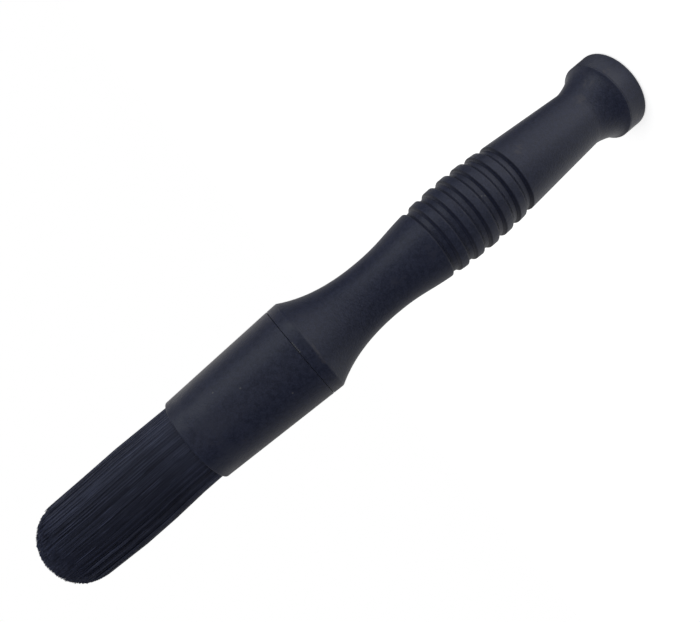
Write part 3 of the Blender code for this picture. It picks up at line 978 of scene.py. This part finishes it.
def filament_finish():
    """Black nylon fibre, lighter or darker by the tone that each filament carries."""
    material, tree, shader, place = start_material("filament_nylon")
    tone = shader_node(tree, "ShaderNodeAttribute", attribute_name="tone").outputs["Fac"]
    parts = shader_node(tree, "ShaderNodeSeparateXYZ")
    put(tree, place, parts.inputs[0])
    height = parts.outputs["Z"]
    run = shader_node(tree, "ShaderNodeCombineXYZ")
    put(tree, combine(tree, "MULTIPLY", tone, STROKE_SPREAD), run.inputs[0])
    put(tree, combine(tree, "MULTIPLY", height, STROKES_PER_METRE), run.inputs[1])
    strokes = noise(tree, run.outputs["Vector"], *STROKE_NOISE)
    light = remap(tree, strokes, *LIGHT_FADE, 0.0, STROKE_LIGHT)
    dark = remap(tree, strokes, *DARK_FADE, 0.0, STROKE_DARK)
    at_lip = remap(tree, height, LIP, LIP + LIP_REACH, LIP_LIFT, 0.0)
    at_tip = remap(tree, height, TIP - TIP_REACH, TIP, 0.0, TIP_LIFT)
    tone = combine(tree, "ADD", tone, light, dark, at_lip, at_tip)
    put(tree, blend(tree, "RGBA", tone, FIBRE_DARK, FIBRE_LIGHT), shader.inputs["Base Color"])
    put(tree, remap(tree, tone, 0.0, 1.0, *FIBRE_ROUGHNESS), shader.inputs["Roughness"])
    shader.inputs["Specular IOR Level"].default_value = FIBRE_SPECULAR
    normal = shader_node(tree, "ShaderNodeNewGeometry").outputs["Normal"]
    flat = vector_step(tree, "MULTIPLY", place, (1.0, 1.0, 0.0)).outputs["Vector"]
    outward = vector_step(tree, "NORMALIZE", flat).outputs["Vector"]
    put(tree, blend(tree, "VECTOR", ROUND_SHARE, normal, outward), shader.inputs["Normal"])
    return material


nylon = filament_finish()
print("finish", nylon.name, "with", len(nylon.node_tree.nodes), "nodes")

# %% [markdown]
# ### Growing the filaments
#
# A filament is a prism: at each step of its path lies a small polygon, and the last one is drawn
# in, because the real ends are worn round. All polygons of all filaments are one array. The
# outermost filaments are seen from the side, so they get five sides. Those inside show only their
# tips and get three. The knot is split in two pieces, so neither mesh grows too large.

# %% The knot
TIP_SHARE = 0.45
RIM_START = 12.6 * MM
RIM_SIDES = 5
CORE_SIDES = 3
LOCK_SHARE = 0.10
WISP_SHARE = 0.20
OWN_SHARE = 0.70
lock_tone = chance.random(LOCKS)
wisp_tone = chance.random(WISPS)


def grow_filaments(name, chosen, sides):
    """Prisms with the given number of sides along the paths of the chosen filaments.

    Corner k of a step is centre + radius (cos(turn + 2 pi k / sides), sin(...)). Consecutive steps
    are joined by quads, and both ends are closed with one polygon.
    """
    count = len(chosen)
    centre = paths[chosen]
    turn = chance.random(count)[:, None] * 2 * np.pi + np.arange(sides) * 2 * np.pi / sides
    ring = np.stack([np.cos(turn), np.sin(turn), np.zeros_like(turn)], axis=2)
    thick = np.full(PATH_STEPS, FILAMENT_RADIUS)
    thick[-1] *= TIP_SHARE
    corners = centre[:, :, None, :] + ring[:, None, :, :] * thick[None, :, None, None]
    number = np.arange(count * PATH_STEPS * sides).reshape(count, PATH_STEPS, sides)
    beside = np.roll(number, -1, axis=2)
    walls = np.stack([number[:, :-1], beside[:, :-1], beside[:, 1:], number[:, 1:]], axis=3)
    faces = walls.reshape(-1, 4).tolist()
    faces += number[:, -1, :].tolist()
    faces += number[:, 0, ::-1].tolist()
    piece = new_piece(name, corners.reshape(-1, 3), faces, nylon)
    shared = LOCK_SHARE * lock_tone[lock_of[chosen]] + WISP_SHARE * wisp_tone[wisp_of[chosen]]
    tone = shared + OWN_SHARE * chance.random(count) ** 2
    shade = piece.data.attributes.new("tone", "FLOAT", "POINT")
    shade.data.foreach_set("value", np.repeat(tone, PATH_STEPS * sides).astype(np.float32))
    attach(piece, "root")
    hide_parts("bristles")
    print(name, "has", count, "filaments and", len(faces), "faces")


grow_filaments("knot_rim", np.flatnonzero(from_axis >= RIM_START), RIM_SIDES)
grow_filaments("knot_core", np.flatnonzero(from_axis < RIM_START), CORE_SIDES)

# %% [markdown]
# ### The potted root
#
# Deep in the ferrule the filaments stand in a slice of resin, 3 mm thick. It is never seen from
# outside, but it holds every filament, so the knot is a whole piece by itself.

# %% The root slice
ROOT_SLICE = 3.0 * MM
SLICE_ROUNDING = 0.3 * MM
root_corners = [
    (0.0, ROOT_BACK + ROOT_SLICE, 0.0),
    (ROOT_RADIUS, ROOT_BACK + ROOT_SLICE, SLICE_ROUNDING),
    (ROOT_RADIUS, ROOT_BACK, SOFT),
    (0.0, ROOT_BACK, 0.0),
]
root_slice = lathe("knot_root", soften(root_corners), resin)
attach(root_slice, "root")
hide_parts("bristles")

# %% [markdown]
# ## Floor and background
#
# The photograph has a plain white background. The floor is a pale sheet that is lit like anything
# else and keeps the brush's shadow. For the camera it also glows evenly, just enough to reach
# white. More lamp light could do that too, but it would wash out the brush.
#
# Dark satin plastic shows little colour of its own and mostly what it mirrors, and so the handle
# in the photograph has bands of light and shade. The floor gives them: it has a level of its own
# for reflections, with patches of light and shade round the brush's foot. A patch depends only
# on how far a spot is from the foot and on its bearing, in degrees, where 0 is towards -Y and
# the camera, and 90 towards +X.

# %% What the floor shows to reflections
# Each patch is a bearing, the cosine at which it starts and at which it is full, the distance from
# the foot in metres at which it starts and at which it is full, and its level
FRONT = (27.0, 0.18, 1.0, 0.38, 0.13, 0.72)
LEFT = (-112.0, 0.55, 1.0, 0.38, 0.13, 0.44)
RIM = (158.0, 0.75, 1.0, 0.38, 0.13, 0.32)
CLOSE = (-33.0, 0.35, 0.92, 0.096, 0.060, 0.58)
WAIST = (40.0, 0.88, 1.0, 0.18, 0.24, 0.24)
REAR_SHADE = (82.0, 0.78, 1.0, 0.085, 0.062, 0.42)
RING_SHADE = (-42.0, 0.55, 0.95, 0.140, 0.095, 0.60)

# The waist's patch fades out again between these distances
WAIST_END = (0.62, 0.42)

# The level between the patches: near the foot, far off in front and far off behind. On one side
# only a share of it is left.
NEAR_BASE = 0.30
FAR_FRONT = 0.02
FAR_BACK = 0.46
FAR_REACH = (0.28, 0.55)
AHEAD = (0.0, -0.75, 0.10)
SIDE = (100.0, 0.70, 1.0)
SIDE_LEFT = 0.45

# The shares of light that are left close to the foot
CONTACT_REACH = (0.013, 0.024)
FRONT_AT_FOOT = 0.3
CONTACT = 0.66


# %% Kinds of rays and bearings
def ray_is(tree, *kinds):
    """1 for rays of any of these kinds, such as "Is Camera Ray"."""
    path = shader_node(tree, "ShaderNodeLightPath")
    return combine(tree, "MAXIMUM", *[path.outputs[kind] for kind in kinds])


def toward(tree, direction, bearing, starts, ends, apart, full):
    """A value that goes from apart to full as a direction turns to a level bearing in degrees.

    It follows the cosine of the angle between them, from the cosine starts to the cosine ends.
    """
    angle = math.radians(bearing)
    cosine = vector_step(tree, "DOT_PRODUCT", direction, (math.sin(angle), -math.cos(angle), 0.0))
    return remap(tree, cosine.outputs["Value"], starts, ends, apart, full)


# %% The level that reflections see
def mirrored_floor(tree, place):
    """How bright a reflection sees a spot of the floor.

    The formula is (lobes (1 - rear) + base) (1 - ring) + close + waist, times the share left at
    the foot.
    """
    direction = vector_step(tree, "NORMALIZE", place).outputs["Vector"]
    distance = vector_step(tree, "LENGTH", place).outputs["Value"]

    def patch(bearing, starts, ends, begins, whole, level):
        """A patch's level, times a share for the bearing and one for the distance."""
        lit = toward(tree, direction, bearing, starts, ends, 0.0, level)
        return combine(tree, "MULTIPLY", lit, remap(tree, distance, begins, whole))

    at_foot = remap(tree, distance, *CONTACT_REACH, FRONT_AT_FOOT, 1.0)
    front = combine(tree, "MULTIPLY", patch(*FRONT), at_foot)
    lobes = combine(tree, "ADD", front, patch(*LEFT), patch(*RIM))
    lobes = combine(tree, "MULTIPLY", lobes, combine(tree, "SUBTRACT", 1.0, patch(*REAR_SHADE)))

    far = toward(tree, direction, *AHEAD, FAR_BACK, FAR_FRONT)
    base = blend(tree, "FLOAT", remap(tree, distance, *FAR_REACH), NEAR_BASE, far)
    base = combine(tree, "MULTIPLY", base, toward(tree, direction, *SIDE, 1.0, SIDE_LEFT))
    total = combine(tree, "ADD", lobes, base)
    total = combine(tree, "MULTIPLY", total, combine(tree, "SUBTRACT", 1.0, patch(*RING_SHADE)))

    waist = combine(tree, "MULTIPLY", patch(*WAIST), remap(tree, distance, *WAIST_END))
    total = combine(tree, "ADD", total, patch(*CLOSE), waist)
    return combine(tree, "MULTIPLY", total, remap(tree, distance, *CONTACT_REACH, CONTACT, 1.0))


# %% The floor itself
FLOOR_SIZE = 6.0
FLOOR_COLOUR = (0.80, 0.80, 0.80)
FLOOR_ROUGHNESS = 0.9
BLACK = (0.0, 0.0, 0.0)
WHITE = (1.0, 1.0, 1.0)
GLOW = 0.645


def floor_material():
    """White sheet: lit and shadowed, with a glow for the camera and a level for reflections."""
    material, tree, shader, place = start_material("floor_sheet")
    shader.inputs["Roughness"].default_value = FLOOR_ROUGHNESS
    shader.inputs["Specular IOR Level"].default_value = 0.0
    mirrored = ray_is(tree, "Is Glossy Ray", "Is Transmission Ray")
    put(tree, blend(tree, "RGBA", mirrored, FLOOR_COLOUR, BLACK), shader.inputs["Base Color"])
    glow = combine(tree, "MULTIPLY", ray_is(tree, "Is Camera Ray"), GLOW)
    shine = combine(tree, "MULTIPLY", mirrored, mirrored_floor(tree, place))
    shader.inputs["Emission Color"].default_value = (*WHITE, 1.0)
    put(tree, combine(tree, "ADD", glow, shine), shader.inputs["Emission Strength"])
    return material


half = FLOOR_SIZE / 2
floor_points = half * np.array([(-1.0, -1.0, 0.0), (1.0, -1.0, 0.0), (1.0, 1.0, 0.0), (-1.0, 1.0, 0.0)])
floor = new_piece("floor", floor_points, [(0, 1, 2, 3)], floor_material())
print("floor:", FLOOR_SIZE, "m square")

# %% [markdown]
# ## Light
#
# The brush in the photograph has a broad, cool highlight on its upper left, a dark band on its
# lower right, and pale rims, which takes more than one lamp. A large window stands in front of
# the brush on its +X side, a ceiling gives soft light but isn't mirrored, and a small bounce near
# the camera lifts the front. The camera sees a white world, and reflections see a dim room that
# grows paler behind the brush, with a pale side for each rim. What falls on the brush from the
# world is a fill that is stronger from +X.

# %% World
ROOM = 0.075
BACKDROP = 0.38
BACKDROP_FADE = (-0.40, 0.85)
WINDOW_BEARING = (148.0, 0.72, 1.0)
WINDOW_SIDE = 0.36
FAR_BEARING = (-115.0, 0.60, 1.0)
FAR_SIDE = 0.10
WARM = (1.0, 0.985, 0.955)
FILL = 0.30
FILL_SIDE = 0.30
FILL_FADE = (-0.6, 0.6)


def studio_world():
    """White for the camera, a room with a backdrop and two pale sides for reflections, and a fill.

    Each level depends on the direction alone. The backdrop lies towards +Y and the fill grows
    towards +X.
    """
    world = bpy.data.worlds.new("studio")
    bpy.context.scene.world = world
    world.use_nodes = True
    tree = world.node_tree
    background = tree.nodes["Background"]
    direction = shader_node(tree, "ShaderNodeTexCoord").outputs["Generated"]
    parts = shader_node(tree, "ShaderNodeSeparateXYZ")
    put(tree, direction, parts.inputs[0])
    behind = remap(tree, parts.outputs["Y"], *BACKDROP_FADE, ROOM, BACKDROP)
    beside = toward(tree, direction, *WINDOW_BEARING, 0.0, WINDOW_SIDE)
    across = toward(tree, direction, *FAR_BEARING, 0.0, FAR_SIDE)
    shiny = combine(tree, "ADD", behind, beside, across)
    lit = remap(tree, parts.outputs["X"], *FILL_FADE, FILL, FILL + FILL_SIDE)
    mirrored = ray_is(tree, "Is Glossy Ray", "Is Transmission Ray")
    level = blend(tree, "FLOAT", mirrored, lit, shiny)
    level = blend(tree, "FLOAT", ray_is(tree, "Is Camera Ray"), level, 1.0)
    put(tree, level, background.inputs["Strength"])
    put(tree, blend(tree, "RGBA", mirrored, WHITE, WARM), background.inputs["Color"])


studio_world()
print("fill from the world:", FILL, "to", FILL + FILL_SIDE)

# %% Lamps
BRUSH_MIDDLE = Vector((0.0, 0.0, TIP / 2))

# Each lamp is a place in metres, a width, a height, a radiance and a tint
WINDOW = ((0.50, -0.36, 0.20), 0.50, 0.60, 0.98, (0.92, 0.96, 1.0))
CEILING = ((0.05, -0.10, 0.95), 0.90, 0.90, 0.60, WHITE)
BOUNCE = ((-0.02, -0.22, 0.245), 0.16, 0.12, 0.36, WHITE)


def softbox(name, place, width, height, radiance, tint):
    """A rectangular lamp that faces the brush. Its power is radiance x pi x area."""
    lamp = bpy.data.lights.new(name, "AREA")
    lamp.shape = "RECTANGLE"
    lamp.size = width
    lamp.size_y = height
    lamp.energy = radiance * math.pi * width * height
    lamp.color = tint
    box = bpy.data.objects.new(name, lamp)
    box.location = place
    box.rotation_euler = (BRUSH_MIDDLE - Vector(place)).to_track_quat("-Z", "Y").to_euler()
    box.visible_camera = False
    bpy.context.scene.collection.objects.link(box)
    print(name, "lamp:", round(lamp.energy, 2), "W")
    return box


softbox("window", *WINDOW)
ceiling = softbox("ceiling", *CEILING)
ceiling.visible_glossy = False
softbox("bounce", *BOUNCE)

# %% [markdown]
# ## Camera
#
# The picture is taken from a little above the brush's middle, from only 22 cm away, and the brush
# lies across it at 40 degrees. The brush stands upright here, so the camera rolls instead. The
# axis of the brush passes a tenth of a millimetre from the middle of the view.

# %% Place the camera
CAMERA_DISTANCE = 220.97 * MM
AIM_HEIGHT = 121.91 * MM
AIM_SIDE = -0.10 * MM
LOOK_DOWN = math.radians(4.5)
BRUSH_TILT = math.radians(40.12)
LENS = 33.43
SENSOR_WIDTH = 36.0
CLIP_START = 0.01


def place_camera():
    """Camera in front of -Y, looking slightly down, rolled so that the cap points up and right.

    In the picture the way to the cap is the brush's -Z, seen at BRUSH_TILT above the horizontal.
    """
    view = Vector((0.0, math.cos(LOOK_DOWN), -math.sin(LOOK_DOWN)))
    to_cap = Vector((0.0, -math.sin(LOOK_DOWN), -math.cos(LOOK_DOWN)))
    to_side = Vector((1.0, 0.0, 0.0))
    right = to_cap * math.cos(BRUSH_TILT) - to_side * math.sin(BRUSH_TILT)
    up = to_cap * math.sin(BRUSH_TILT) + to_side * math.cos(BRUSH_TILT)
    aim = Vector((AIM_SIDE, 0.0, AIM_HEIGHT))
    camera = bpy.data.objects.new("camera", bpy.data.cameras.new("camera"))
    camera.data.lens = LENS
    camera.data.sensor_width = SENSOR_WIDTH
    camera.data.clip_start = CLIP_START
    turned = Matrix((right, up, -view)).transposed()
    camera.matrix_world = Matrix.Translation(aim - view * CAMERA_DISTANCE) @ turned.to_4x4()
    bpy.context.scene.collection.objects.link(camera)
    bpy.context.scene.camera = camera
    return camera


camera = place_camera()
bpy.context.scene.view_settings.view_transform = "Standard"
print("camera at", [round(x, 4) for x in camera.location])
